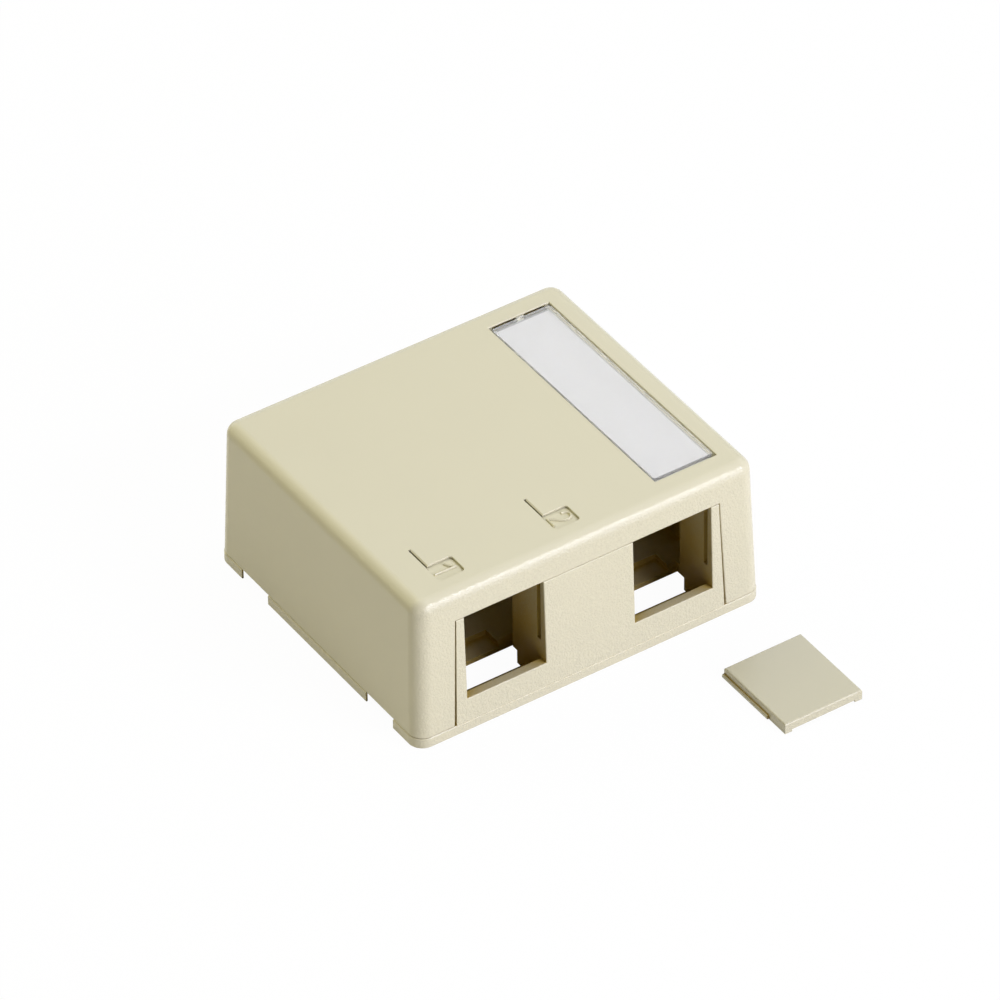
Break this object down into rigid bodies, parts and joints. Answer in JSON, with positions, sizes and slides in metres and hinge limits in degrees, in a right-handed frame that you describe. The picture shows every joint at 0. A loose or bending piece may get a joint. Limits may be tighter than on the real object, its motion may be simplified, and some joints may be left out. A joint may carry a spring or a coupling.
{
  "type": "surface mount jack box",
  "caption": "Low ivory plastic box with open rectangular ports in its front, a lift-off cover with a clear-windowed label strip, and a loose port filler beside it.",
  "frame": {"origin": "centre of the base's underside, on the surface the box is fixed to", "axes": "+X to the right seen from the port side, +Y from the ports to the back, +Z away from the mounting surface"},
  "size_m": [0.0662, 0.0875, 0.0282],
  "materials": {
    "ivory_base": "fine moulded texture",
    "ivory_cover": "satin moulded",
    "paper": "plain white",
    "clear": "clear polished",
    "ivory_blank": "satin moulded"
  },
  "bodies": {
    "base": {"base": "ivory_base", "blank_insert": "ivory_blank"},
    "cover": {"cover": "ivory_cover", "label": "paper"},
    "window": {"label_window": "clear"}
  },
  "joints": [
    {"name": "cover_lift", "type": "slide", "parent": "base", "child": "cover", "axis": [0, 0, 1], "range_m": [0, 0.03]},
    {"name": "label_lift", "type": "slide", "parent": "cover", "child": "window", "axis": [0, 0, 1], "range_m": [0, 0.008]}
  ]
}
